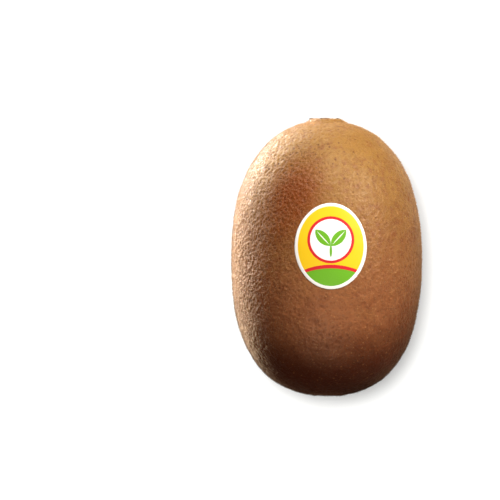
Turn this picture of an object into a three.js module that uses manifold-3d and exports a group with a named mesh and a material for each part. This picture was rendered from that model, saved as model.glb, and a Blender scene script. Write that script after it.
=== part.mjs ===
// A whole golden kiwi fruit lying on its side, with its small oval fruit sticker.
//
// Units are millimetres. +Y runs along the fruit towards its stem end, +X across it, and +Z is up.
// The origin is on the surface that the fruit lies on, under the middle of its bounding box.
//
// The fruit grew as one piece, so it is one solid: a superellipse turned about Y, then shaped by formulas
// into the flattened section, the raised stem disc, the dimpled blossom end and the small flat spot that it
// rests on. The dried styles left by the flower stand in the dimple, fused to it. The sticker is a separate
// thin sheet that follows the skin.

import * as THREE from "three";
import { mergeVertices } from "three/addons/utils/BufferGeometryUtils.js";
import Module from "manifold-3d";

// The fruit's driving dimensions.
const BODY_LENGTH = 71.45; // pole to pole, without the stem disc's rise
const WIDTH = 49.7; // across, along X
const THICKNESS = 48.4; // through, along Z, before the flat spot
const STEM_FULLNESS = 2.3; // superellipse exponent towards the stem end: 2 is an ellipse
const BLOSSOM_FULLNESS = 2.47; // the blossom end is blunter
const BLOSSOM_LEAN = 0.3; // how far the blossom end swings towards +X

// The flat spot that the fruit rests on.
const FLAT_DEPTH = 0.55; // how far it cuts into the round section
const FLAT_BLEND = 0.12; // how softly its edge rounds off

// The stem end: a raised woody disc with the stalk's scar in its middle and the dried sepals on its rim.
const DISC_RISE = 0.5; // flat top above the body's own pole
const DISC_TOP_RADIUS = 3.5;
const DISC_FOOT_RADIUS = 5.6;
const DISC_GROOVE = 0.05; // shallow groove round the disc's foot
const DISC_GROOVE_OUT = 0.4; // from the foot's radius to the groove's middle
const DISC_GROOVE_WIDTH = 0.5;
const DISC_LOBES = [
  [1, 0.3, -0.4],
  [3, 0.18, 1.1],
]; // how its outline strays from a circle: [waves round, size, phase]
const SCAR_RADIUS = 2.1;
const SCAR_DEPTH = 0.5;
const SCAR_WALL = 0.4; // half the width of the slope at its edge
const SCAR_NUB_RADIUS = 0.8;
const SCAR_NUB_RISE = 0.35;
const SEPAL_RISE = 0.42;
const SEPALS = [
  [4.72, 1],
  [5.95, 0.4],
  [0.85, 0.35],
  [2.15, 0.8],
  [3.3, 0.9],
]; // five, unevenly spread and worn: [angle about Y from +Z, share of the rise]
const SEPAL_WIDTH = 0.34; // radians
const SEPAL_RADIUS = 4.1; // where along the disc's slope each one lies
const SEPAL_REACH = 0.75;

// The blossom end: a dimple with a low rim, and the dried styles in it.
const DIMPLE_RADIUS = 3.1;
const DIMPLE_DEPTH = 0.6;
const DIMPLE_FLOOR = 0.3; // the share of its radius that is level
const DIMPLE_RIM = 0.12;
const DIMPLE_RIM_OUT = 0.5; // from the dimple's radius to the rim's middle
const DIMPLE_RIM_WIDTH = 0.8;
const STYLE_COUNT = 13;
const STYLE_LENGTH = 1.15;
const STYLE_ROOT_RADIUS = 0.3;
const STYLE_TIP_RADIUS = 0.16;
const STYLE_SIDES = 5;
const STYLE_RING_RADIUS = 1.25;
const STYLE_SUNK = 0.5; // length of each one's root inside the fruit
const STYLE_SPLAY = 0.75; // radians that the outer ones lean outwards
const STYLE_SEED = 11;

// The mesh.
const SEGMENTS = 72;
const BODY_RINGS = 28;
const STEM_RING_RADII = [6.6, 5.9, 5.3, 4.9, 4.5, 4.1, 3.7, 3.3, 2.8, 2.3, 1.9, 1.4, 0.9, 0.45];
const BLOSSOM_RING_RADII = [0.7, 1.4, 2.1, 2.7, 3.3, 4.0, 5.0, 6.2];
const END_RADIUS = 7.6; // where the end rings hand over to the body rings

// The sticker.
const STICKER_WIDTH = 18.6;
const STICKER_LENGTH = 22.3;
const STICKER_THICKNESS = 0.2;
const STICKER_GAP = 0.15; // the layer of down and glue under it
const STICKER_ACROSS = 0.9; // its middle, measured over the skin from the top line
const STICKER_ALONG = 3.1; // its middle, towards the stem end
const STICKER_SEGMENTS = 40;
const STICKER_RINGS = 5;

// Weak low lobes that keep the section from being a perfect oval: [waves round, size, phase, drift along Y].
const LOBES = [
  [2, 0.005, 0.5, 0.9],
  [3, 0.006, 2.1, -0.7],
  [5, 0.0022, 4.0, 1.6],
];

const HALF_LENGTH = BODY_LENGTH / 2;
const HALF_WIDTH = WIDTH / 2;
const FLOOR = -(THICKNESS / 2 - FLAT_DEPTH);

const wasm = await Module();
wasm.setup();

/** 0 below low, 1 above high, smooth in between. */
const smooth = (low, high, value) => THREE.MathUtils.smoothstep(value, low, high);

/** A bell of height 1 and the given half-width, centred on 0. */
const bell = (offset, halfWidth) => Math.exp(-((offset / halfWidth) ** 2));

/** The signed angle from b to a, between -PI and PI. */
const turn = (a, b) => THREE.MathUtils.euclideanModulo(a - b + Math.PI, 2 * Math.PI) - Math.PI;

const fullness = (towardsStem) => (towardsStem ? STEM_FULLNESS : BLOSSOM_FULLNESS);

/** Distance of the plain body's surface from its middle plane, where its radius is as given. */
function axialAt(radius, towardsStem) {
  const n = fullness(towardsStem);
  return HALF_LENGTH * (1 - (radius / HALF_WIDTH) ** n) ** (1 / n);
}

/** Radius of the plain body at a distance along Y from its middle plane. */
function radiusAt(y) {
  const n = fullness(y > 0);
  return HALF_WIDTH * Math.max(0, 1 - Math.abs(y / HALF_LENGTH) ** n) ** (1 / n);
}

/** The profile of the plain body, from the blossom pole to the stem pole. */
function bodyProfile() {
  const blossomEnd = BLOSSOM_RING_RADII.map((r) => new THREE.Vector2(r, -axialAt(r, false)));
  const stemEnd = STEM_RING_RADII.map((r) => new THREE.Vector2(r, axialAt(r, true)));
  const handOver = (towardsStem) =>
    Math.asin((END_RADIUS / HALF_WIDTH) ** (fullness(towardsStem) / 2));
  const first = Math.PI - handOver(false);
  const last = handOver(true);
  const middle = [];
  for (let i = 0; i <= BODY_RINGS; i++) {
    const angle = THREE.MathUtils.lerp(first, last, i / BODY_RINGS);
    const towardsStem = Math.cos(angle) > 0;
    const radius = HALF_WIDTH * Math.sin(angle) ** (2 / fullness(towardsStem));
    middle.push(new THREE.Vector2(radius, (towardsStem ? 1 : -1) * axialAt(radius, towardsStem)));
  }
  const pole = (y) => new THREE.Vector2(0, y);
  return [pole(-HALF_LENGTH), ...blossomEnd, ...middle, ...stemEnd, pole(HALF_LENGTH)];
}

/** How far the stem end stands out along +Y from the plain body, at a radius and angle about Y. */
function stemRelief(radius, angle) {
  let uneven = 0;
  for (const [waves, size, phase] of DISC_LOBES) uneven += size * Math.cos(waves * angle + phase);
  const onDisc = 1 - smooth(DISC_TOP_RADIUS + uneven, DISC_FOOT_RADIUS + uneven, radius);
  const levelTop = HALF_LENGTH + DISC_RISE - axialAt(radius, true);
  let relief = onDisc * levelTop;
  relief -= DISC_GROOVE * bell(radius - DISC_FOOT_RADIUS - uneven - DISC_GROOVE_OUT, DISC_GROOVE_WIDTH);
  relief -= SCAR_DEPTH * (1 - smooth(SCAR_RADIUS - SCAR_WALL, SCAR_RADIUS + SCAR_WALL, radius));
  const onNub = 1 - smooth(SCAR_NUB_RADIUS - SCAR_WALL, SCAR_NUB_RADIUS + SCAR_WALL, radius);
  relief += SCAR_NUB_RISE * onNub;
  for (const [at, share] of SEPALS) {
    const height = SEPAL_RISE * share * bell(radius - SEPAL_RADIUS, SEPAL_REACH);
    relief += height * bell(turn(angle, at), SEPAL_WIDTH);
  }
  return relief;
}

/** How far the blossom end sinks in along +Y from the plain body, at a radius about Y. */
function blossomRelief(radius) {
  const inDimple = 1 - smooth(DIMPLE_RADIUS * DIMPLE_FLOOR, DIMPLE_RADIUS, radius);
  const onRim = bell(radius - DIMPLE_RADIUS - DIMPLE_RIM_OUT, DIMPLE_RIM_WIDTH);
  return DIMPLE_DEPTH * inDimple - DIMPLE_RIM * onRim;
}

/** Presses a height onto the flat spot: level below it, rounded at its edge, unchanged well above it. */
function pressed(z) {
  const above = z - FLOOR;
  if (above <= -FLAT_BLEND) return FLOOR;
  if (above >= FLAT_BLEND) return z;
  return FLOOR + (above + FLAT_BLEND) ** 2 / (4 * FLAT_BLEND);
}

/** The finished skin's point at an angle about Y from +Z, a distance along Y, and a radius of the plain body. */
function skinPoint(angle, y, radius) {
  const along = y / HALF_LENGTH;
  let swell = 1;
  for (const [waves, size, phase, drift] of LOBES) {
    swell += size * Math.cos(waves * angle + phase + drift * along);
  }
  const relief = y > 0 ? stemRelief(radius, angle) : blossomRelief(radius);
  const lean = along < 0 ? BLOSSOM_LEAN * along ** 4 : 0;
  return new THREE.Vector3(
    radius * swell * Math.sin(angle) + lean,
    y + relief,
    pressed(radius * swell * (THICKNESS / WIDTH) * Math.cos(angle)),
  );
}

/** The outward direction of the plain body's skin at an angle and a distance along Y. */
function skinNormal(angle, y) {
  const step = 0.05;
  const at = (a, d) => skinPoint(a, d, radiusAt(d));
  const round = at(angle + step, y).sub(at(angle - step, y));
  const along = at(angle, y + step).sub(at(angle, y - step));
  return round.cross(along).normalize();
}

/** Moves each vertex of a geometry by a function from its old place to its new one. */
function reshape(geometry, place) {
  const position = geometry.getAttribute("position");
  const point = new THREE.Vector3();
  for (let i = 0; i < position.count; i++) {
    point.fromBufferAttribute(position, i);
    position.setXYZ(i, ...place(point.clone()));
  }
  return geometry;
}

/** A closed geometry as a manifold-3d solid. */
function solidOf(geometry) {
  const bare = new THREE.BufferGeometry().setIndex(geometry.getIndex());
  bare.setAttribute("position", geometry.getAttribute("position"));
  const merged = mergeVertices(bare, 1e-4);
  return new wasm.Manifold(
    new wasm.Mesh({
      numProp: 3,
      vertProperties: new Float32Array(merged.getAttribute("position").array),
      triVerts: new Uint32Array(merged.getIndex().array),
    }),
  );
}

/** A manifold-3d solid as a geometry. */
function geometryOf(solid) {
  const { vertProperties, triVerts } = solid.getMesh();
  const geometry = new THREE.BufferGeometry();
  geometry.setAttribute("position", new THREE.BufferAttribute(vertProperties, 3));
  geometry.setIndex(new THREE.BufferAttribute(triVerts, 1));
  geometry.computeVertexNormals();
  return geometry;
}

/** The fruit's body with its stem disc and dimple, without the styles. */
function bodyGeometry() {
  const turned = new THREE.LatheGeometry(bodyProfile(), SEGMENTS);
  return reshape(turned, ({ x, y, z }) => skinPoint(Math.atan2(x, z), y, Math.hypot(x, z)));
}

/** A repeatable stream of numbers between 0 and 1. */
function* draws(seed) {
  let state = seed;
  while (true) {
    state = (state * 1664525 + 1013904223) % 4294967296;
    yield state / 4294967296;
  }
}

/** The dried styles: short tapered stubs that stand in the dimple and splay outwards. */
function styleGeometries() {
  const random = draws(STYLE_SEED);
  const draw = () => random.next().value;
  const stubs = [];
  for (let i = 0; i < STYLE_COUNT; i++) {
    const inner = i % 4 === 0;
    const ring = STYLE_RING_RADIUS * (inner ? 0.35 : 0.85 + 0.3 * draw());
    const angle = (2 * Math.PI * (i + 0.5 * draw())) / STYLE_COUNT;
    const length = STYLE_LENGTH * (0.75 + 0.35 * draw());
    const splay = STYLE_SPLAY * (inner ? 0.3 : 0.8 + 0.4 * draw());
    const stub = new THREE.CylinderGeometry(
      STYLE_TIP_RADIUS,
      STYLE_ROOT_RADIUS,
      length,
      STYLE_SIDES,
    );
    stub.translate(0, length / 2 - STYLE_SUNK, 0);
    stub.rotateX(splay);
    stub.translate(0, 0, ring);
    stub.rotateY(angle);
    stub.rotateZ(Math.PI);
    stub.translate(BLOSSOM_LEAN, DIMPLE_DEPTH - HALF_LENGTH, 0);
    stubs.push(stub);
  }
  return stubs;
}

/** The sticker: a flat oval sheet laid over the skin. */
function stickerGeometry() {
  const radii = Array.from({ length: STICKER_RINGS + 1 }, (_, i) => i / STICKER_RINGS);
  const under = radii.map((r) => new THREE.Vector2(r, 0));
  const top = radii.map((r) => new THREE.Vector2(r, STICKER_THICKNESS)).reverse();
  const sheet = new THREE.LatheGeometry([...under, ...top], STICKER_SEGMENTS);
  return reshape(sheet, ({ x, y: lift, z }) => {
    const along = STICKER_ALONG - (z * STICKER_LENGTH) / 2;
    const angle = (STICKER_ACROSS + (x * STICKER_WIDTH) / 2) / (THICKNESS / 2);
    const foot = skinPoint(angle, along, radiusAt(along));
    return foot.addScaledVector(skinNormal(angle, along), STICKER_GAP + lift);
  });
}

const fruitSkin = new THREE.MeshStandardMaterial({ color: "#96623a", roughness: 0.75, metalness: 0 });
const stickerFilm = new THREE.MeshStandardMaterial({ color: "#f2c51d", roughness: 0.4, metalness: 0 });

let fruitSolid = solidOf(bodyGeometry());
for (const stub of styleGeometries()) fruitSolid = fruitSolid.add(solidOf(stub));

const fruit = new THREE.Mesh(geometryOf(fruitSolid), fruitSkin);
fruit.name = "kiwi_fruit";

const sticker = new THREE.Mesh(stickerGeometry(), stickerFilm);
sticker.name = "fruit_sticker";

const kiwi = new THREE.Group();
kiwi.add(fruit, sticker);
const box = new THREE.Box3().setFromObject(kiwi);
const middle = box.getCenter(new THREE.Vector3());
kiwi.position.set(-middle.x, -middle.y, -box.min.z);

export default kiwi;
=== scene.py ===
"""Looks for a whole golden kiwi fruit with its oval sticker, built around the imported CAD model.

Everything is in metres in the CAD model's own frame: +Y points to the stem end, +Z is up, and the
fruit lies on Z = 0. The skin and the sticker start from copies of the CAD solids. The dried remains
of the flower and the stalk, and the short down, are added to the skin.
"""

import math

import bpy
import numpy as np
from bpy.props import FloatProperty, FloatVectorProperty, IntProperty, PointerProperty
from bpy.types import Operator, Panel, PropertyGroup
from mathutils import Matrix, Vector


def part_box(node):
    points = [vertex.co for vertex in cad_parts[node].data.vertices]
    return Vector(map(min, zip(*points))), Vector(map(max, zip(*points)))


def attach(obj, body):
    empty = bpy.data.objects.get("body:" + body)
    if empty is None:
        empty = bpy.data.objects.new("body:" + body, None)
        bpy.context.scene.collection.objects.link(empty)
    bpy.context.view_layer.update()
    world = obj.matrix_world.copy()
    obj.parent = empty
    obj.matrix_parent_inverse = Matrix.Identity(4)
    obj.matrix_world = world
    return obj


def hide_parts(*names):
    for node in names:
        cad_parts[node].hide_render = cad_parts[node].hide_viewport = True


bl_info = {
    "name": "Golden Kiwi Fruit",
    "version": (1, 0, 0),
    "blender": (4, 5, 0),
    "location": "View3D > Sidebar > Kiwi",
    "description": "Dresses the CAD solids of a golden kiwi fruit with skin, down and sticker",
    "category": "Object",
}

MM = 0.001
BODY = "root"

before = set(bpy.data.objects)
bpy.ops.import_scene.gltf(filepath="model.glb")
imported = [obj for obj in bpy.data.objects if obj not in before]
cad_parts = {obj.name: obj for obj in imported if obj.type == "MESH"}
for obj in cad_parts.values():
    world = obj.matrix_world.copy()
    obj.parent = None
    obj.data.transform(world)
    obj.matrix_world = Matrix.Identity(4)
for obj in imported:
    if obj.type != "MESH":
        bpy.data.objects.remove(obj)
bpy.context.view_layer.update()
FRUIT_LOW, FRUIT_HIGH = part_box("kiwi_fruit")
STICKER_LOW, STICKER_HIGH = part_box("fruit_sticker")
STICKER_MIDDLE = (STICKER_LOW + STICKER_HIGH) / 2


def axis_near(y_from, y_to):
    """The middle, across the fruit, of the CAD skin's points between two places along Y."""
    points = np.array([v.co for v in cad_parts["kiwi_fruit"].data.vertices])
    ring = points[(points[:, 1] > y_from) & (points[:, 1] < y_to)]
    middle = (ring.min(axis=0) + ring.max(axis=0)) / 2
    return Vector((middle[0], 0, middle[2]))


DISC_HEIGHT = 1.2 * MM  # how far below the top of the stem end its raised disc is still round
DIMPLE_HEIGHT = 1.0 * MM
STEM_AXIS = axis_near(FRUIT_HIGH.y - DISC_HEIGHT, 1)
BLOSSOM_AXIS = axis_near(-1, FRUIT_LOW.y + DIMPLE_HEIGHT)

# The five sepals: each one's angle round the stem axis, in radians from +Z, and its share of full size.
SEPALS = ((4.72, 0.5), (5.95, 0.3), (0.85, 0.26), (2.15, 0.85), (3.3, 1.0))
SEPAL_RING = 3.8 * MM  # from the stem axis to the middle of a sepal, at the edge of the disc

# The russet patch, partly the skin's own russet and partly painted shade of the valley between the rim
# light and the key: its middle, half its size along its own axes, and how far it is turned about Z.
RUSSET_SHADE_MIDDLE = (-9 * MM, 15 * MM, FRUIT_HIGH.z - 4 * MM)
RUSSET_SHADE_REACH = (11 * MM, 17 * MM, 14 * MM)
RUSSET_SHADE_TURN = math.radians(-20)

# How far apart the skin's patterns repeat.
PATCHES = 9 * MM
RUST = 3.5 * MM
MOTTLE = 1.7 * MM
LENTICELS = 1.9 * MM
FLECKS = 1.1 * MM

# ---------------------------------------------------------------- settings


def linear(hex_colour):
    """An sRGB hex colour as linear red, green, blue and alpha."""
    parts = [int(hex_colour[i : i + 2], 16) / 255 for i in (1, 3, 5)]
    return (*(c / 12.92 if c <= 0.04045 else ((c + 0.055) / 1.055) ** 2.4 for c in parts), 1.0)


def colour_property(name, description, hex_colour):
    """A colour that a user can change."""
    return FloatVectorProperty(
        name=name,
        description=description,
        default=linear(hex_colour),
        subtype="COLOR",
        size=4,
        min=0,
        max=1,
    )


def length_property(name, description, millimetres):
    """A length that a user can change."""
    return FloatProperty(
        name=name, description=description, default=millimetres * MM, unit="LENGTH", min=0
    )


def power_property(name, description, watts):
    """A light's power that a user can change."""
    return FloatProperty(name=name, description=description, default=watts, unit="POWER", min=0)


def count_property(name, description, count):
    """A number of things that a user can change."""
    return IntProperty(name=name, description=description, default=count, min=1)


class KiwiSkinSettings(PropertyGroup):
    """The skin's colours and the size of its grain"""

    brown: colour_property("Brown", "Main colour of the skin", "#985D38")
    gold: colour_property("Gold", "Lighter golden patches", "#A2693E")
    umber: colour_property("Umber", "Darker patches", "#7A4124")
    # Partly the stem half's own golden tone, partly painted light where the key light falls.
    tan: colour_property("Tan", "The stem half, which saw more sun", "#9A7235")
    # Partly the skin's own russet, partly painted shade of the valley between the rim light and the key.
    russet_and_shade: colour_property("Blush", "Russet patch near the sticker", "#80380A")
    # Mostly painted shade on the blossom end, over its own slightly darker brown.
    end_tone_and_shade: colour_property("Dark end", "The blossom end", "#4A1809")
    # Painted shade in the pores' floors, and the lenticels' own dark colour.
    pit_shade_and_lenticel: colour_property("Pore", "Bottom of the pores, and lenticels", "#56240A")
    fleck: colour_property("Fleck", "Pale flecks in the blossom half", "#BC8A58")
    grain: length_property("Grain", "Distance between neighbouring pores", 0.9)
    relief: length_property("Relief", "Depth of the pores", 0.4)


class KiwiDownSettings(PropertyGroup):
    """The short down on the skin"""

    tip: colour_property("Pale", "Colour of the down", "#CC9A62")
    # Painted shade on the down at the blossom end, matching the skin's painted shade there.
    root: colour_property("Dark", "Colour of the down at the blossom end", "#3A1C0E")
    length: length_property("Length", "Length of one hair", 0.36)
    width: length_property("Width", "Width of one hair at its middle", 0.036)
    pieces: count_property("Pieces", "How many pieces the down is split into", 4)
    hairs: count_property("Hairs", "Hairs in each piece", 30000)


class KiwiEndSettings(PropertyGroup):
    """What is left of the stalk and of the flower, at the two ends"""

    wood: colour_property("Wood", "Torn fibres of the stalk's scar", "#7A5636")
    char: colour_property("Char", "Withered sepals and styles", "#2E1B10")
    sepal_length: length_property("Sepal length", "From its foot to its tip", 2.9)
    sepal_width: length_property("Sepal width", "At its widest", 2.4)
    styles: count_property("Styles", "Dried threads in the dimple", 26)
    style_length: length_property("Style length", "Length of one thread", 1.3)


class KiwiStickerSettings(PropertyGroup):
    """The sticker's print"""

    border: length_property("Border", "Width of the white border", 1.0)
    white: colour_property("White", "Border, disc and leaf veins", "#FBFBF8")
    yellow: colour_property("Yellow", "Field", "#F9CC1B")
    green: colour_property("Green", "Leaves and hill", "#6DB324")
    red: colour_property("Red", "Ring, and the line over the hill", "#D8232B")


class KiwiStudioSettings(PropertyGroup):
    """The table, the lights and the camera"""

    floor: colour_property("Floor", "Table top", "#F4F4F2")
    key_power: power_property("Key", "Soft light over the stem end", 4.8)
    side_power: power_property("Side", "Soft light from the right", 5.2)
    fill_power: power_property("Fill", "Weak light on the blossom end", 1.5)
    rim_power: power_property("Rim", "From low behind the left shoulder", 7.6)
    edge_power: power_property("Edge", "From low on the left", 7.3)
    back_power: power_property("Back", "From beneath the left side", 4.2)
    glint_power: power_property("Glint", "Small, for the glints on the shoulder", 3.0)
    flank_power: power_property("Flank", "From beneath the right side", 0.5)
    top_power: power_property("Top", "From low behind the stem end", 1.4)
    table_strength: FloatProperty(
        name="Table", description="Light of the table top alone, in W/m2", default=2.19, min=0
    )
    wash_strength: FloatProperty(
        name="Wash", description="The same, without the fruit's shadow", default=1.67, min=0
    )


# ---------------------------------------------------------------- modelling helpers


def deselect_all():
    """Nothing selected, in object mode."""
    if bpy.context.object and bpy.context.object.mode != "OBJECT":
        bpy.ops.object.mode_set(mode="OBJECT")
    bpy.ops.object.select_all(action="DESELECT")


def make_active(piece):
    """Selects one piece alone."""
    deselect_all()
    bpy.context.view_layer.objects.active = piece
    piece.select_set(True)


def start_edit(piece):
    """Edit mode on one piece, with its faces to choose from and none of them selected."""
    make_active(piece)
    bpy.ops.object.mode_set(mode="EDIT")
    bpy.ops.mesh.select_mode(type="FACE")
    bpy.ops.mesh.select_all(action="DESELECT")


def end_edit():
    """Back to object mode."""
    bpy.ops.object.mode_set(mode="OBJECT")


def select_faces(piece, test):
    """Selects the faces of a piece in edit mode whose middle passes a test."""
    bpy.ops.object.mode_set(mode="OBJECT")
    for face in piece.data.polygons:
        face.select = test(face.center)
    bpy.ops.object.mode_set(mode="EDIT")


def apply_modifier(piece, kind, **settings):
    """Adds a modifier to a piece and applies it."""
    make_active(piece)
    modifier = piece.modifiers.new(kind.title(), kind)
    for name, value in settings.items():
        setattr(modifier, name, value)
    bpy.ops.object.modifier_apply(modifier=modifier.name)


def apply_relief(piece, size, height):
    """Presses soft lumps into a piece: their size and their whole height, in metres."""
    texture = bpy.data.textures.new(f"{piece.name}_clouds", "CLOUDS")
    texture.noise_scale = size
    apply_modifier(
        piece, "DISPLACE", texture=texture, texture_coords="LOCAL", strength=height, mid_level=0.5
    )


def add_object(name, data):
    """A new object in the scene, with its data."""
    added = bpy.data.objects.new(name, data)
    bpy.context.scene.collection.objects.link(added)
    return added


def cad_copy(node, name):
    """A piece that starts as a CAD node's mesh, with its loose triangles joined into quads."""
    deselect_all()
    piece = add_object(name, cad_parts[node].data.copy())
    start_edit(piece)
    bpy.ops.mesh.select_all(action="SELECT")
    bpy.ops.mesh.remove_doubles(threshold=0.002 * MM)
    limit = math.radians(40)
    bpy.ops.mesh.tris_convert_to_quads(face_threshold=limit, shape_threshold=limit)
    end_edit()
    return piece


def points_of(piece):
    """A piece's vertices as an array."""
    points = np.empty(len(piece.data.vertices) * 3)
    piece.data.vertices.foreach_get("co", points)
    return points.reshape(-1, 3)


def set_points(piece, points):
    """Moves a piece's vertices to the rows of an array."""
    piece.data.vertices.foreach_set("co", np.ascontiguousarray(points, np.float32).ravel())
    piece.data.update()


def on_skin(point, height):
    """The place that stands at a height over the skin's nearest point to another point."""
    skin = bpy.data.objects["kiwi_skin"]
    _hit, foot, normal, _face = skin.closest_point_on_mesh(point)
    return foot + normal * height


def outwards_at(angle):
    """The direction out from the fruit's long axis at an angle from +Z, in radians."""
    return Vector((math.sin(angle), 0, math.cos(angle)))


def finish_piece(piece, material, replaces=()):
    """Gives a finished piece its material, its smooth shading, and its place on the frame."""
    piece.data.materials.clear()
    piece.data.materials.append(material)
    make_active(piece)
    bpy.ops.object.shade_smooth()
    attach(piece, BODY)
    if replaces:
        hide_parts(*replaces)


# ---------------------------------------------------------------- materials


def add_node(tree, kind, inputs=(), **settings):
    """Adds a node, with its settings, and a value or a link for each of its named inputs."""
    node = tree.nodes.new(kind)
    for name, value in settings.items():
        setattr(node, name, value)
    for key, value in dict(inputs).items():
        if isinstance(value, bpy.types.NodeSocket):
            tree.links.new(value, node.inputs[key])
        else:
            node.inputs[key].default_value = value
    return node


def new_material(name):
    """An empty node material, with its tree and its shader."""
    material = bpy.data.materials.new(name)
    material.use_nodes = True
    return material, material.node_tree, material.node_tree.nodes["Principled BSDF"]


def paint(tree, under, over, value, start, end, amount=1.0):
    """One colour over another: none of it where a value is at start, and the whole amount at end."""
    cover = add_node(
        tree,
        "ShaderNodeMapRange",
        {"Value": value, "From Min": start, "From Max": end, "To Max": amount},
        interpolation_type="SMOOTHSTEP",
    )
    # A mix node's input 0 is its share, and its inputs 6 and 7 and its output 2 are its colours.
    sockets = {0: cover.outputs["Result"], 6: under, 7: over}
    return add_node(tree, "ShaderNodeMix", sockets, data_type="RGBA").outputs[2]


def skin_ground(tree, settings, place, along):
    """The skin's broad colours over its whole length, with painted light on the stem half and painted
    shade in the russet patch and at the blossom end.
    """
    # Soft patches of umber, brown and gold, about a centimetre across.
    patches = add_node(
        tree, "ShaderNodeTexNoise", {"Vector": place, "Scale": 1 / PATCHES, "Detail": 5, "Roughness": 0.6}
    ).outputs["Fac"]
    colour = paint(tree, settings.umber, settings.brown, patches, 0.2, 0.5)
    colour = paint(tree, colour, settings.gold, patches, 0.5, 0.8)

    # The stem half, which the key light faces, is painted lighter and more golden: partly the skin's own
    # tone, partly painted light. A mottle of brown lies over it.
    colour = paint(tree, colour, settings.tan, along, -17 * MM, 26 * MM, 0.85)
    mottle = add_node(tree, "ShaderNodeTexNoise", {"Vector": place, "Scale": 1 / MOTTLE, "Detail": 3})
    colour = paint(tree, colour, settings.umber, mottle.outputs["Fac"], 0.45, 0.75, 0.6)

    # Painted shade darkens the blossom end nearly to black, further up at the sides; the end's own colour
    # is a little darker too. Y over 0 counts as 0: no X is over 1 m.
    behind = add_node(tree, "ShaderNodeVectorMath", {0: place, 1: (1, 0, 0)}, operation="MINIMUM")
    spread = add_node(
        tree,
        "ShaderNodeVectorMath",
        {0: behind.outputs["Vector"], 1: (0.86, 1, 0)},
        operation="MULTIPLY",
    )
    from_middle = add_node(
        tree, "ShaderNodeVectorMath", {0: spread.outputs["Vector"]}, operation="LENGTH"
    )
    colour = paint(
        tree, colour, settings.end_tone_and_shade, from_middle.outputs["Value"], 18.5 * MM, 31 * MM, 0.92
    )

    # Round the dried styles at its tip, the blossom end is brown again.
    tip = (BLOSSOM_AXIS.x, FRUIT_LOW.y, BLOSSOM_AXIS.z)
    from_tip = add_node(tree, "ShaderNodeVectorMath", {0: place, 1: tip}, operation="DISTANCE")
    colour = paint(tree, colour, settings.brown, from_tip.outputs["Value"], 9 * MM, 3 * MM, 0.7)

    # A russet patch between the sticker and the coarse shoulder, partly the skin's own russet and partly
    # painted shade where the rim light gives way to the key.
    from_russet_shade = add_node(
        tree,
        "ShaderNodeMapping",
        {
            "Vector": place,
            "Location": RUSSET_SHADE_MIDDLE,
            "Rotation": (0, 0, RUSSET_SHADE_TURN),
            "Scale": RUSSET_SHADE_REACH,
        },
        vector_type="TEXTURE",
    )
    reach = add_node(
        tree, "ShaderNodeVectorMath", {0: from_russet_shade.outputs["Vector"]}, operation="LENGTH"
    )
    return paint(tree, colour, settings.russet_and_shade, reach.outputs["Value"], 1.0, 0.2, 0.9)


def skin_dots(tree, settings, place, along, colour):
    """Lenticels, which are sparse dark dots in the stem half, and pale flecks in the blossom half."""
    stem_share = add_node(
        tree,
        "ShaderNodeMapRange",
        {"Value": along, "From Min": -4 * MM, "From Max": 30 * MM, "To Max": 0.85},
    ).outputs["Result"]
    lenticels = add_node(tree, "ShaderNodeTexVoronoi", {"Vector": place, "Scale": 1 / LENTICELS})
    colour = paint(tree, colour, settings.pit_shade_and_lenticel, lenticels.outputs["Distance"], 0.2, 0.1, stem_share)
    blossom_share = add_node(
        tree,
        "ShaderNodeMapRange",
        {"Value": along, "From Min": 16 * MM, "From Max": -4 * MM, "To Max": 0.45},
    ).outputs["Result"]
    flecks = add_node(tree, "ShaderNodeTexVoronoi", {"Vector": place, "Scale": 1 / FLECKS})
    return paint(tree, colour, settings.fleck, flecks.outputs["Distance"], 0.24, 0.08, blossom_share)


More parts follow.
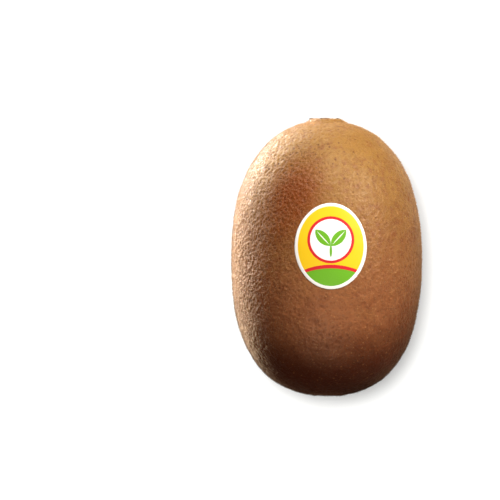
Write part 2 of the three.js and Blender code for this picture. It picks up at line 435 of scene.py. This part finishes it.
def skin_material(settings):
    """Kiwi skin: thin dry cork, grown. It gives matt brown leather with pores, specks and weak sheen."""
    material, tree, shader = new_material("kiwi_skin_dry_cork")
    place = add_node(tree, "ShaderNodeTexCoord").outputs["Object"]
    axes = add_node(tree, "ShaderNodeSeparateXYZ", {"Vector": place}).outputs
    along = axes["Y"]
    colour = skin_ground(tree, settings, place, along)

    # The shoulder towards -X and the stem end grew coarser than the rest, and the flank at +X a
    # little coarser.
    to_shoulder = add_node(
        tree, "ShaderNodeVectorMath", {0: place, 1: (-0.97, 0.22, 0)}, operation="DOT_PRODUCT"
    )
    shoulder = add_node(
        tree,
        "ShaderNodeMapRange",
        {
            "Value": to_shoulder.outputs["Value"],
            "From Min": 1 * MM,
            "From Max": 20 * MM,
            "To Min": 0.3,
            "To Max": 1.0,
        },
        interpolation_type="SMOOTHSTEP",
    ).outputs["Result"]
    flank = add_node(
        tree,
        "ShaderNodeMapRange",
        {"Value": axes["X"], "From Min": 8 * MM, "From Max": 22 * MM, "To Max": 0.6},
    ).outputs["Result"]
    coarse = add_node(
        tree, "ShaderNodeMath", {0: shoulder, 1: flank}, operation="MAXIMUM"
    ).outputs["Value"]

    # Blotches of rust on the flank, and a redder shoulder away from the stem end.
    rust = add_node(tree, "ShaderNodeTexNoise", {"Vector": place, "Scale": 1 / RUST, "Detail": 4})
    colour = paint(tree, colour, settings.umber, rust.outputs["Fac"], 0.42, 0.68, flank)
    reddened = add_node(
        tree,
        "ShaderNodeMapRange",
        {"Value": along, "From Min": 24 * MM, "From Max": 8 * MM, "To Max": 0.5},
    ).outputs["Result"]
    colour = paint(tree, colour, settings.russet_and_shade, coarse, 0.6, 1.0, reddened)

    # Pores: pits at the grain's spacing, bent out of line by a finer noise, with painted shade darkening
    # their floors.
    bend = 0.7 * settings.grain
    wander = add_node(tree, "ShaderNodeTexNoise", {"Vector": place, "Scale": 1 / bend, "Detail": 2})
    shift = add_node(
        tree,
        "ShaderNodeVectorMath",
        {0: wander.outputs["Color"], 1: (bend,) * 3, 2: place},
        operation="MULTIPLY_ADD",
    )
    pores = add_node(
        tree,
        "ShaderNodeTexVoronoi",
        {"Vector": shift.outputs["Vector"], "Scale": 1 / settings.grain},
    ).outputs["Distance"]
    colour = paint(tree, colour, settings.pit_shade_and_lenticel, pores, 0.45, 0.05, coarse)
    colour = skin_dots(tree, settings, place, along, colour)
    tree.links.new(colour, shader.inputs["Base Color"])

    # Relief: pores, and the finer crumb of the cork between them.
    crumb = add_node(
        tree,
        "ShaderNodeTexNoise",
        {"Vector": place, "Scale": 1 / (0.35 * settings.grain), "Detail": 3},
    )
    height = add_node(
        tree, "ShaderNodeMath", {0: crumb.outputs["Fac"], 1: 0.6, 2: pores}, operation="MULTIPLY_ADD"
    )
    bump = add_node(
        tree,
        "ShaderNodeBump",
        {"Height": height.outputs["Value"], "Strength": coarse, "Distance": settings.relief},
    )
    tree.links.new(bump.outputs["Normal"], shader.inputs["Normal"])

    # The crests are worn smooth and shine, and the pits are dull.
    rough = add_node(
        tree,
        "ShaderNodeMapRange",
        {"Value": pores, "From Min": 0.1, "From Max": 0.6, "To Min": 0.62, "To Max": 0.38},
    )
    tree.links.new(rough.outputs["Result"], shader.inputs["Roughness"])
    shader.inputs["Specular IOR Level"].default_value = 0.36
    shader.inputs["Specular Tint"].default_value = linear("#FFEEDA")
    shader.inputs["Sheen Weight"].default_value = 0.08
    shader.inputs["Sheen Roughness"].default_value = 0.45
    shader.inputs["Sheen Tint"].default_value = linear("#E8C9A0")
    return material


def down_material(settings):
    """Down: dead dry hairs, hollow and pale. It gives the skin a soft bronze haze at the edges."""
    material, tree, shader = new_material("down_dry_hair")
    place = add_node(tree, "ShaderNodeTexCoord").outputs["Object"]
    along = add_node(tree, "ShaderNodeSeparateXYZ", {"Vector": place}).outputs["Y"]
    mottle = add_node(
        tree, "ShaderNodeTexNoise", {"Vector": place, "Scale": 1 / (1.5 * MM), "Detail": 2}
    )
    dull = (*(0.6 * c for c in settings.tip[:3]), 1)
    colour = paint(tree, dull, settings.tip, mottle.outputs["Fac"], 0.3, 0.7)
    # Painted shade: the down darkens towards the blossom end, as the skin under it does.
    colour = paint(tree, colour, settings.root, along, 10 * MM, -30 * MM, 0.85)
    tree.links.new(colour, shader.inputs["Base Color"])
    shader.inputs["Roughness"].default_value = 0.5
    return material


def dry_material(name, dark, pale, grain):
    """Dried plant tissue: withered and woody. It gives dull dark flakes with paler worn edges."""
    material, tree, shader = new_material(name)
    place = add_node(tree, "ShaderNodeTexCoord").outputs["Object"]
    fibres = add_node(tree, "ShaderNodeTexNoise", {"Vector": place, "Scale": 1 / grain, "Detail": 4})
    colour = paint(tree, dark, pale, fibres.outputs["Fac"], 0.35, 0.7)
    tree.links.new(colour, shader.inputs["Base Color"])
    bump = add_node(
        tree,
        "ShaderNodeBump",
        {"Height": fibres.outputs["Fac"], "Strength": 0.8, "Distance": 0.2 * grain},
    )
    tree.links.new(bump.outputs["Normal"], shader.inputs["Normal"])
    shader.inputs["Roughness"].default_value = 0.8
    return material


def length_under(tree, vector, radius):
    """1 where a vector is shorter than a radius, and 0 elsewhere."""
    reach = add_node(tree, "ShaderNodeVectorMath", {0: vector}, operation="LENGTH")
    inside = add_node(
        tree, "ShaderNodeMath", {0: reach.outputs["Value"], 1: radius}, operation="LESS_THAN"
    )
    return inside.outputs["Value"]


def oval_mask(tree, place, middle, half_width, half_length):
    """1 inside an upright oval on the print, and 0 outside it."""
    scaled = add_node(
        tree,
        "ShaderNodeMapping",
        {
            "Vector": place,
            "Location": (-middle[0] / half_width, -middle[1] / half_length, 0),
            "Scale": (1 / half_width, 1 / half_length, 0),
        },
    )
    return length_under(tree, scaled.outputs["Vector"], 1.0)


def leaf_mask(tree, place, middle, turn, length, width):
    """1 inside a pointed leaf on the print, which is the overlap of two discs, and 0 outside it."""
    offset = (length**2 - width**2) / (4 * width)
    turned = add_node(
        tree,
        "ShaderNodeMapping",
        {"Vector": place, "Location": (*middle, 0), "Rotation": (0, 0, turn)},
        vector_type="TEXTURE",
    )
    apart = add_node(tree, "ShaderNodeSeparateXYZ", {"Vector": turned.outputs["Vector"]})
    aside = add_node(tree, "ShaderNodeMath", {0: apart.outputs["X"]}, operation="ABSOLUTE")
    moved = add_node(tree, "ShaderNodeMath", {0: aside.outputs["Value"], 1: offset}, operation="ADD")
    flat = add_node(
        tree, "ShaderNodeCombineXYZ", {"X": moved.outputs["Value"], "Y": apart.outputs["Y"]}
    )
    return length_under(tree, flat.outputs["Vector"], offset + width / 2)


def sticker_print(tree, settings, place):
    """The sticker's inks: a white border, and a yellow field with the print on it."""
    centred = add_node(
        tree,
        "ShaderNodeMapping",
        {"Vector": place, "Location": (-STICKER_MIDDLE.x, -STICKER_MIDDLE.y, 0)},
    ).outputs["Vector"]
    half_width = (STICKER_HIGH.x - STICKER_LOW.x) / 2 - settings.border
    half_length = (STICKER_HIGH.y - STICKER_LOW.y) / 2 - settings.border
    field = oval_mask(tree, centred, (0, 0), half_width, half_length)
    colour = paint(tree, settings.white, settings.yellow, field, 0, 1)

    # Each shape covers the ones before it: a green hill under a thin red line, along the foot of the
    # field, then a white disc in a red ring, and on it a sprout of two veined leaves and a stalk.
    hill = (0, -15.4 * MM)
    disc = (0, 1.6 * MM)
    stalk = (0, -1.25 * MM)
    shapes = [
        (oval_mask(tree, centred, hill, 14.2 * MM, 10.65 * MM), settings.red),
        (oval_mask(tree, centred, hill, 14.2 * MM, 9.7 * MM), settings.green),
        (oval_mask(tree, centred, disc, 6.0 * MM, 6.0 * MM), settings.red),
        (oval_mask(tree, centred, disc, 5.3 * MM, 5.3 * MM), settings.white),
    ]
    for side in (-1, 1):
        leaf = (side * 2.0 * MM, 2.1 * MM)
        lean = -side * 0.75
        shapes.append((leaf_mask(tree, centred, leaf, lean, 5.7 * MM, 2.75 * MM), settings.green))
        shapes.append((leaf_mask(tree, centred, leaf, lean, 4.7 * MM, 0.27 * MM), settings.white))
    shapes.append((oval_mask(tree, centred, stalk, 0.33 * MM, 1.5 * MM), settings.green))
    for mask, ink in shapes:
        colour = paint(tree, colour, ink, mask, 0, 1, field)
    return colour


def sticker_material(settings):
    """Sticker: polyethylene film, printed. It gives clean flat inks under a soft gloss."""
    material, tree, shader = new_material("sticker_printed_film")
    place = add_node(tree, "ShaderNodeTexCoord").outputs["Object"]
    tree.links.new(sticker_print(tree, settings, place), shader.inputs["Base Color"])

    # The film has the faintest waves, from the skin's grain beneath it.
    fine = add_node(
        tree, "ShaderNodeTexNoise", {"Vector": place, "Scale": 1 / (1.2 * MM), "Detail": 2}
    )
    bump = add_node(
        tree,
        "ShaderNodeBump",
        {"Height": fine.outputs["Fac"], "Strength": 0.4, "Distance": 0.05 * MM},
    )
    tree.links.new(bump.outputs["Normal"], shader.inputs["Normal"])
    shader.inputs["Roughness"].default_value = 0.38
    return material


# ---------------------------------------------------------------- operators


class KIWI_OT_skin(Operator):
    """Builds the fruit's skin with its stem disc and its dimpled blossom end"""

    bl_idname = "kiwi.skin"
    bl_label = "Skin"

    DIMPLE_RADIUS = 2.3 * MM  # of the part of the dimple that is made anew
    FLOOR_DEPTH = 0.45 * MM
    # Each ring of its floor: its share of the last one's radius, and of the depth that it sinks.
    FLOOR_RINGS = ((0.72, 0.6), (0.55, 0.35), (0.4, 0.05))

    def execute(self, context):
        skin = cad_copy("kiwi_fruit", "kiwi_skin")
        self.clear_dimple(skin)
        apply_modifier(skin, "SUBSURF", levels=2, render_levels=2)
        apply_relief(skin, 14 * MM, 0.5 * MM)
        apply_relief(skin, 3.5 * MM, 0.14 * MM)
        points = points_of(skin)
        points[:, 2] = np.maximum(points[:, 2], 0)  # The flat spot stays on the table.
        set_points(skin, points)
        finish_piece(skin, skin_material(context.scene.kiwi_skin), ["kiwi_fruit"])
        return {"FINISHED"}

    def clear_dimple(self, skin):
        """Takes the faceted styles out of the dimple and closes its floor with rings of faces."""
        near_end = FRUIT_LOW.y + 3 * MM

        def in_dimple(co):
            from_axis = math.hypot(co.x - BLOSSOM_AXIS.x, co.z - BLOSSOM_AXIS.z)
            return co.y < near_end and from_axis < self.DIMPLE_RADIUS

        start_edit(skin)
        select_faces(skin, in_dimple)
        bpy.ops.mesh.delete(type="FACE")
        bpy.ops.mesh.select_mode(type="EDGE")
        bpy.ops.mesh.select_non_manifold(extend=False, use_boundary=True, use_wire=True)
        centre = (BLOSSOM_AXIS.x, FRUIT_LOW.y + self.FLOOR_DEPTH, BLOSSOM_AXIS.z)
        for shrink, sink in self.FLOOR_RINGS:
            step = (0, sink * self.FLOOR_DEPTH, 0)
            bpy.ops.mesh.extrude_region_move(TRANSFORM_OT_translate={"value": step})
            bpy.ops.transform.resize(value=(shrink, 0.3, shrink), center_override=centre)
        bpy.ops.mesh.merge(type="CENTER")
        end_edit()


class KIWI_OT_stem_end(Operator):
    """Builds the stalk's scar in the disc's recess and the five withered sepals round it"""

    bl_idname = "kiwi.stem_end"
    bl_label = "Stem End"

    SCAR_RADIUS = 2.05 * MM
    SCAR_HEIGHT = 0.6 * MM
    SCAR_DEPTH = 0.62 * MM  # of its middle, below the top of the disc
    # Each ring of its top face: how far in, and how far up, in mm.
    SCAR_RINGS = ((0.30, 0.34), (0.28, -0.30), (0.20, -0.12), (0.26, 0.5), (0.35, 0.05), (0.3, -0.3))
    SEPAL_THICKNESS = 0.2 * MM

    def execute(self, context):
        settings = context.scene.kiwi_ends
        wood = dry_material("stalk_scar_wood", settings.char, settings.wood, 0.5 * MM)
        withered = dry_material("sepal_withered", settings.char, settings.wood, 0.9 * MM)
        self.scar(wood)
        for index, (angle, share) in enumerate(SEPALS):
            sepal = self.sepal(f"sepal_{index + 1}", settings, share, angle)
            self.lay_down(sepal, angle)
            apply_modifier(sepal, "SOLIDIFY", thickness=self.SEPAL_THICKNESS, offset=-1)
            apply_modifier(sepal, "SUBSURF", levels=1, render_levels=1)
            finish_piece(sepal, withered)
        return {"FINISHED"}

    def lay_down(self, sepal, angle):
        """Moves a flat sepal onto the skin at an angle round the stem, tip outwards."""
        outwards = outwards_at(angle)
        across = outwards.cross(Vector((0, 1, 0)))
        middle = STEM_AXIS + outwards * SEPAL_RING + Vector((0, FRUIT_HIGH.y, 0))
        places = []
        for vertex in sepal.data.vertices:
            flat = middle + across * vertex.co.x + outwards * vertex.co.y
            places.append(on_skin(flat, vertex.co.z))
        set_points(sepal, places)

    def scar(self, material):
        """A plug of torn wood: a raised ring of fibres round a sunken pith."""
        middle = FRUIT_HIGH.y - self.SCAR_DEPTH
        deselect_all()
        bpy.ops.mesh.primitive_cylinder_add(
            vertices=40,
            radius=self.SCAR_RADIUS,
            depth=self.SCAR_HEIGHT,
            location=(STEM_AXIS.x, middle, STEM_AXIS.z),
            rotation=(-math.pi / 2, 0, 0),
        )
        scar = bpy.context.object
        scar.name = "stalk_scar"
        bpy.ops.object.transform_apply(location=True, rotation=True, scale=True)
        start_edit(scar)
        select_faces(scar, lambda co: co.y > middle + self.SCAR_HEIGHT / 3)
        for inset, rise in self.SCAR_RINGS:
            bpy.ops.mesh.inset(thickness=inset * MM, depth=rise * MM)
        bpy.ops.mesh.poke()
        end_edit()
        apply_modifier(scar, "SUBSURF", levels=2, render_levels=2)
        apply_relief(scar, 0.3 * MM, 0.16 * MM)
        finish_piece(scar, material)

    def sepal(self, name, settings, share, turn):
        """One withered sepal, flat along Y with its tip towards +Y. Its Z is its height off the skin."""
        deselect_all()
        bpy.ops.mesh.primitive_grid_add(x_subdivisions=6, y_subdivisions=10, size=1)
        sepal = bpy.context.object
        sepal.name = name
        points = points_of(sepal)
        across = points[:, 0].copy()  # from -0.5 to 0.5
        along = points[:, 1] + 0.5  # from 0 at the foot to 1 at the tip

        # It widens from its foot and runs in to a narrow tip. Its sides droop, its tip curls up, and it
        # is crumpled, each one in its own way.
        outline = np.minimum(1, 1.5 * (1.04 - along)) * (0.7 + 0.6 * along)
        crumple = 0.06 * np.sin(9 * along + 5 * turn) * np.cos(7 * across + 3 * turn)
        points[:, 0] = across * settings.sepal_width * share * outline
        points[:, 1] *= settings.sepal_length * share
        points[:, 2] = (0.12 - 0.2 * across**2 + 0.2 * along**3 + crumple) * MM
        set_points(sepal, points)
        return sepal


class KIWI_OT_blossom_end(Operator):
    """Builds the dried styles that stand in the dimple"""

    bl_idname = "kiwi.blossom_end"
    bl_label = "Blossom End"

    TUFT_RADIUS = 1.15 * MM
    FOOT_DEPTH = 0.95 * MM  # from the fruit's end to the threads' feet, in the dimple's floor
    GOLDEN_ANGLE = 2.4  # radians from one thread's foot to the next, which spreads them evenly
    SPLAY = 0.9  # radians that the outer ones lean outwards
    ROOT_RADIUS = 0.13 * MM
    STEPS = 5  # of each thread, from its root to its tip
    TAPER = 0.86  # from one step to the next
    BEND = 0.06  # share of a step's rise by which each step leans further than the last
    SEED = 11

    def execute(self, context):
        settings = context.scene.kiwi_ends
        material = dry_material("style_dried_thread", settings.char, settings.wood, 0.4 * MM)
        random = np.random.default_rng(self.SEED)
        template = self.thread(settings.style_length)
        threads = []
        for index in range(settings.styles):
            share = math.sqrt((index + 0.5) / settings.styles)
            angle = index * self.GOLDEN_ANGLE
            lean = self.SPLAY * share * random.uniform(0.6, 1.1)
            foot = outwards_at(angle) * share * self.TUFT_RADIUS + BLOSSOM_AXIS
            foot.y = FRUIT_LOW.y + self.FOOT_DEPTH
            turn = (
                Matrix.Rotation(angle, 4, "Y")
                @ Matrix.Rotation(math.pi / 2 - lean, 4, "X")
                @ Matrix.Rotation(random.uniform(-1, 1), 4, "Z")
            )
            size = Matrix.Scale(random.uniform(0.6, 1.0), 4)
            thread = template.copy()
            thread.data = template.data.copy()
            thread.data.transform(Matrix.Translation(foot) @ turn @ size)
            bpy.context.scene.collection.objects.link(thread)
            threads.append(thread)
        bpy.data.objects.remove(template)
        make_active(threads[0])
        for thread in threads:
            thread.select_set(True)
        bpy.ops.object.join()
        threads[0].name = "dried_styles"
        finish_piece(threads[0], material)
        return {"FINISHED"}

    def thread(self, length):
        """One thread, rising along +Z from the origin, thinning and bending as it goes."""
        deselect_all()
        bpy.ops.mesh.primitive_circle_add(vertices=6, radius=self.ROOT_RADIUS, fill_type="NGON")
        thread = bpy.context.object
        start_edit(thread)
        bpy.ops.mesh.select_all(action="SELECT")
        rise = length / self.STEPS
        for step in range(self.STEPS):
            bend = self.BEND * step * rise
            top = (0, 0, rise * (step + 1))
            bpy.ops.mesh.extrude_region_move(TRANSFORM_OT_translate={"value": (bend, 0, rise)})
            bpy.ops.transform.resize(value=(self.TAPER, self.TAPER, 1), center_override=top)
        bpy.ops.mesh.select_all(action="SELECT")
        bpy.ops.mesh.normals_make_consistent(inside=False)
        end_edit()
        return thread


class KIWI_OT_sticker(Operator):
    """Builds the printed oval sticker"""

    bl_idname = "kiwi.sticker"
    bl_label = "Sticker"

    GLUE = 0.06 * MM
    FILM = 0.12 * MM

    def execute(self, context):
        sticker = cad_copy("fruit_sticker", "printed_sticker")
        self.lay_down(sticker)
        apply_modifier(sticker, "SUBSURF", levels=2, render_levels=2)
        material = sticker_material(context.scene.kiwi_sticker)
        finish_piece(sticker, material, ["fruit_sticker"])
        return {"FINISHED"}

    def lay_down(self, sticker):
        """Moves the sheet onto the finished skin: its underside on the glue, its top a film above."""
        places = []
        for vertex in sticker.data.vertices:
            film = self.FILM if vertex.normal.z > 0 else 0
            places.append(on_skin(vertex.co, self.GLUE + film))
        set_points(sticker, places)


class KIWI_OT_down(Operator):
    """Plants the short down on the skin, outside the sticker"""

    bl_idname = "kiwi.down"
    bl_label = "Down"

    # One hair, in shares of its length along, its width to the side, and its length up:
    # its root, the two sides of its middle, and its tip.
    HAIR = np.array([(0.0, 0.0, 0.0), (0.5, -0.5, 0.16), (0.5, 0.5, 0.16), (1.0, 0.0, 0.0)])
    FACES = np.array([(0, 2, 1), (0, 1, 3), (0, 3, 2), (1, 2, 3)])
    BARE = 1.5 * MM  # radius without down round a full-sized sepal
    DISORDER = 1.3  # radians, the spread of the hairs' turns from lying straight back
    LIFT = (12, 65)  # degrees that the hairs stand up from the skin, least and most
    SUNK = 0.03 * MM  # depth of the hairs' roots in the skin
    LOWEST = 0.02 * MM  # above the table, for the hairs under the fruit
    SEED = 5

    def execute(self, context):
        settings = context.scene.kiwi_down
        material = down_material(settings)
        random = np.random.default_rng(self.SEED)
        corners, normals, shares = self.ground(bpy.data.objects["kiwi_skin"])
        for index in range(settings.pieces):
            chosen = random.choice(len(corners), settings.hairs, p=shares)
            u, v = random.random((2, settings.hairs, 1))
            flip = u + v > 1
            u, v = np.where(flip, 1 - u, u), np.where(flip, 1 - v, v)
            a, b, c = corners[chosen, 0], corners[chosen, 1], corners[chosen, 2]
            roots = a + (b - a) * u + (c - a) * v
            points = self.hairs(random, settings, roots, normals[chosen])
            points[..., 2] = np.maximum(points[..., 2], self.LOWEST)
            piece = self.piece_of(f"down_{index + 1}", points)
            finish_piece(piece, material)
        return {"FINISHED"}

    def ground(self, skin):
        """The skin's triangles: their corners, their normals, and the share of the hairs on each."""
        mesh = skin.data
        mesh.calc_loop_triangles()
        count = len(mesh.loop_triangles)
        index = np.empty(count * 3, np.int32)
        mesh.loop_triangles.foreach_get("vertices", index)
        corners = points_of(skin)[index.reshape(-1, 3)]
        cross = np.cross(corners[:, 1] - corners[:, 0], corners[:, 2] - corners[:, 0])
        area = np.linalg.norm(cross, axis=1)
        normals = cross / np.maximum(area, 1e-15)[:, None]
        middle = corners.mean(axis=1)
        half = (STICKER_HIGH - STICKER_LOW) / 2
        across = (middle[:, 0] - STICKER_MIDDLE.x) / half.x
        along = (middle[:, 1] - STICKER_MIDDLE.y) / half.y
        covered = (across**2 + along**2 < 1.0) & (middle[:, 2] > STICKER_LOW.z - 1 * MM)
        at_stem = middle[:, 1] > FRUIT_HIGH.y - 2 * MM
        for angle, share in SEPALS:
            sepal = STEM_AXIS + outwards_at(angle) * SEPAL_RING
            reach = np.hypot(middle[:, 0] - sepal.x, middle[:, 2] - sepal.z)
            covered |= at_stem & (reach < self.BARE * share)
        bare_area = np.where(covered, 0, area)
        return corners, normals, bare_area / bare_area.sum()

    def hairs(self, random, settings, roots, normals):
        """The points of a hair on each root: lying mostly back along the fruit, in loose disorder."""
        count = len(roots)
        back = np.tile([0.0, -1.0, 0.0], (count, 1))
        lie = back - (back * normals).sum(1, keepdims=True) * normals
        lie /= np.maximum(np.linalg.norm(lie, axis=1, keepdims=True), 1e-9)
        side = np.cross(normals, lie)
        turn = random.normal(0, self.DISORDER, (count, 1))
        along = lie * np.cos(turn) + side * np.sin(turn)
        lift = np.radians(random.uniform(*self.LIFT, (count, 1)))
        out = along * np.cos(lift) + normals * np.sin(lift)
        up = normals * np.cos(lift) - along * np.sin(lift)
        across = np.cross(out, up)
        length = settings.length * random.uniform(0.5, 1.3, (count, 1))
        width = settings.width * random.uniform(0.7, 1.2, (count, 1))
        foot = roots - self.SUNK * normals
        return np.stack(
            [foot + out * length * x + across * width * y + up * length * z for x, y, z in self.HAIR],
            axis=1,
        )

    def piece_of(self, name, points):
        """One mesh of many hairs."""
        count = len(points)
        mesh = bpy.data.meshes.new(name)
        faces = (self.FACES[None] + 4 * np.arange(count)[:, None, None]).reshape(-1, 3)
        mesh.from_pydata(points.reshape(-1, 3), [], faces.tolist())
        return add_object(name, mesh)


class KIWI_OT_studio(Operator):
    """Sets up the table, the backdrop, the lights and the camera"""

    bl_idname = "kiwi.studio"
    bl_label = "Studio"

    MIDDLE = Vector((0, 0, (FRUIT_LOW.z + FRUIT_HIGH.z) / 2))
    TABLE_RADIUS = 2.5
    TABLE_GAP = 0.02 * MM  # keeps the table top clear of the fruit's flat spot
    DOME_RADIUS = 3.0
    FLAG_DEPTH = 1 * MM
    FLAG_MARGIN = 12 * MM

    # The square panels round the fruit: name, direction from its middle, side, and colour.
    PANELS = (
        ("key", (0, 0.85, 0.53), 0.3, "#FFFCF8"),
        ("side", (0.70, 0.50, 0.51), 0.3, "#FFFAF4"),
        ("fill", (0, -0.53, 0.85), 0.3, "#FFEBDC"),
        ("rim", (-0.51, 0.60, -0.60), 0.3, "#FFF4E0"),
        ("edge", (-0.76, 0.28, -0.58), 0.3, "#FFF0D8"),
        ("back", (-0.57, -0.10, -0.82), 0.3, "#FFE0B4"),
        ("glint", (-0.44, 0.37, -0.82), 0.1, "#FFFFFF"),
        ("flank", (0.50, 0.27, -0.82), 0.3, "#FFF4E0"),
        ("top", (-0.05, 0.85, -0.52), 0.3, "#FFF4D8"),
    )
    PANEL_DISTANCE = 0.7
    OVERHEAD = (-0.10, 0.10, 1)  # direction of the two distant lights, a little up and to the left
    OVERHEAD_SPREAD = math.radians(12)  # softens the edge of the shadow

    SENSOR = 36  # the camera's width and focal length, in its own unit
    LENS = 300
    VIEW_WIDTH = 130.43 * MM  # what the camera takes in at the height of the fruit's middle
    VIEW_X = -19.96 * MM
    VIEW_Y = 1.83 * MM

    def execute(self, context):
        settings = context.scene.kiwi_studio
        floor = self.table(settings)
        self.backdrop()
        self.flag()
        fruit_lights = [self.panel(settings, *panel) for panel in self.PANELS]
        table_light = self.distant_light("table_light", settings.table_strength)
        table_wash = self.distant_light("table_wash", settings.wash_strength)
        self.link_lights(floor, fruit_lights, table_light, table_wash)
        self.camera(context)
        self.air(context)
        context.scene.view_settings.view_transform = "Standard"
        return {"FINISHED"}

    def hide_from(self, thing, *rays):
        """Leaves a thing out of what some kinds of ray see: camera, diffuse, glossy and so on."""
        for ray in rays:
            setattr(thing, f"visible_{ray}", False)

    def table(self, settings):
        """The pale table top. It is left out of the light that reaches the fruit."""
        deselect_all()
        bpy.ops.mesh.primitive_circle_add(
            vertices=96, radius=self.TABLE_RADIUS, fill_type="NGON", location=(0, 0, -self.TABLE_GAP)
        )
        floor = bpy.context.object
        floor.name = "table_top"
        material, _tree, shader = new_material("table_top_lacquer")
        shader.inputs["Base Color"].default_value = settings.floor
        shader.inputs["Roughness"].default_value = 0.9
        shader.inputs["Specular IOR Level"].default_value = 0.0
        floor.data.materials.append(material)
        self.hide_from(floor, "diffuse", "glossy")
        return floor

    def backdrop(self):
        """A white dome far behind everything. It gives no light."""
        deselect_all()
        bpy.ops.mesh.primitive_uv_sphere_add(segments=48, ring_count=24, radius=self.DOME_RADIUS)
        dome = bpy.context.object
        dome.name = "white_dome"
        material, _tree, shader = new_material("white_backdrop_paper")
        shader.inputs["Base Color"].default_value = linear("#000000")
        shader.inputs["Emission Color"].default_value = linear("#FFFFFF")
        shader.inputs["Emission Strength"].default_value = 1.0
        dome.data.materials.append(material)
        self.hide_from(dome, "diffuse", "glossy", "transmission", "shadow")

    def flag(self):
        """A dark card beneath the table top, which keeps the low lights off the fruit's underside."""
        deselect_all()
        bpy.ops.mesh.primitive_circle_add(
            vertices=64, radius=1, fill_type="NGON", location=(0, 0, -self.FLAG_DEPTH)
        )
        flag = bpy.context.object
        flag.name = "black_card"
        flag.scale = (FRUIT_HIGH.x + self.FLAG_MARGIN, FRUIT_HIGH.y + self.FLAG_MARGIN, 1)
        bpy.ops.object.transform_apply(location=True, rotation=True, scale=True)
        material, _tree, shader = new_material("flag_black_card")
        shader.inputs["Base Color"].default_value = linear("#101010")
        shader.inputs["Roughness"].default_value = 0.9
        flag.data.materials.append(material)
        self.hide_from(flag, "camera", "diffuse", "glossy")

    def panel(self, settings, name, direction, side, colour):
        """A square panel light that faces the fruit's middle. Its power is a setting."""
        data = bpy.data.lights.new(f"{name}_light", "AREA")
        data.shape = "SQUARE"
        data.size = side
        data.energy = getattr(settings, f"{name}_power")
        data.color = linear(colour)[:3]
        light = add_object(f"{name}_light", data)
        towards = Vector(direction).normalized()
        light.location = self.MIDDLE + towards * self.PANEL_DISTANCE
        light.rotation_euler = towards.to_track_quat("Z", "Y").to_euler()
        return light

    def distant_light(self, name, strength):
        """A light from almost straight above, the same everywhere on the table top."""
        data = bpy.data.lights.new(name, "SUN")
        data.energy = strength
        data.angle = self.OVERHEAD_SPREAD
        light = add_object(name, data)
        light.rotation_euler = Vector(self.OVERHEAD).to_track_quat("Z", "Y").to_euler()
        return light

    def link_lights(self, floor, fruit_lights, table_light, table_wash):
        """The fruit's lights pass the table top by, and the table's two lights reach nothing else."""
        table_only = bpy.data.collections.new("lit_by_table_light")
        table_only.objects.link(floor)
        table_light.light_linking.receiver_collection = table_only
        table_wash.light_linking.receiver_collection = table_only
        table_wash.light_linking.blocker_collection = table_only
        not_table = bpy.data.collections.new("lit_by_fruit_lights")
        not_table.objects.link(floor)
        for light in fruit_lights:
            light.light_linking.receiver_collection = not_table
            light.light_linking.blocker_collection = not_table
        not_table.collection_objects[0].light_linking.link_state = "EXCLUDE"

    def camera(self, context):
        """A long lens straight above the fruit, a little to its left."""
        data = bpy.data.cameras.new("camera")
        data.sensor_width = self.SENSOR
        data.lens = self.LENS
        data.clip_end = 10
        camera = add_object("camera", data)
        height = self.MIDDLE.z + self.VIEW_WIDTH * self.LENS / self.SENSOR
        camera.location = (self.VIEW_X, self.VIEW_Y, height)
        context.scene.camera = camera

    def air(self, context):
        """A trace of white light from everywhere, so that no shadow is quite black."""
        world = bpy.data.worlds.new("studio_air")
        world.use_nodes = True
        background = world.node_tree.nodes["Background"]
        background.inputs["Color"].default_value = linear("#FFFFFF")
        background.inputs["Strength"].default_value = 0.03
        context.scene.world = world


class KIWI_PT_build(Panel):
    """The fruit's pieces"""

    bl_idname = "KIWI_PT_build"
    bl_label = "Golden Kiwi Fruit"
    bl_space_type = "VIEW_3D"
    bl_region_type = "UI"
    bl_category = "Kiwi"

    def draw(self, context):
        for operator in OPERATORS:
            self.layout.operator(operator.bl_idname)
        for name in SETTINGS:
            group = getattr(context.scene, name)
            for key in group.__annotations__:
                self.layout.prop(group, key)


SETTINGS = {
    "kiwi_skin": KiwiSkinSettings,
    "kiwi_down": KiwiDownSettings,
    "kiwi_ends": KiwiEndSettings,
    "kiwi_sticker": KiwiStickerSettings,
    "kiwi_studio": KiwiStudioSettings,
}
OPERATORS = (
    KIWI_OT_skin,
    KIWI_OT_stem_end,
    KIWI_OT_blossom_end,
    KIWI_OT_sticker,
    KIWI_OT_down,
    KIWI_OT_studio,
)


def register():
    """Registers the settings, the operators and the panel."""
    for name, group in SETTINGS.items():
        bpy.utils.register_class(group)
        setattr(bpy.types.Scene, name, PointerProperty(type=group))
    for cls in (*OPERATORS, KIWI_PT_build):
        bpy.utils.register_class(cls)


def unregister():
    """Takes everything that register added away again."""
    for cls in (KIWI_PT_build, *reversed(OPERATORS)):
        bpy.utils.unregister_class(cls)
    for name, group in reversed(SETTINGS.items()):
        delattr(bpy.types.Scene, name)
        bpy.utils.unregister_class(group)


def main():
    """Builds every piece and the studio."""
    register()
    bpy.ops.kiwi.skin()
    bpy.ops.kiwi.stem_end()
    bpy.ops.kiwi.blossom_end()
    bpy.ops.kiwi.sticker()
    bpy.ops.kiwi.down()
    bpy.ops.kiwi.studio()


if __name__ == "__main__":
    main()
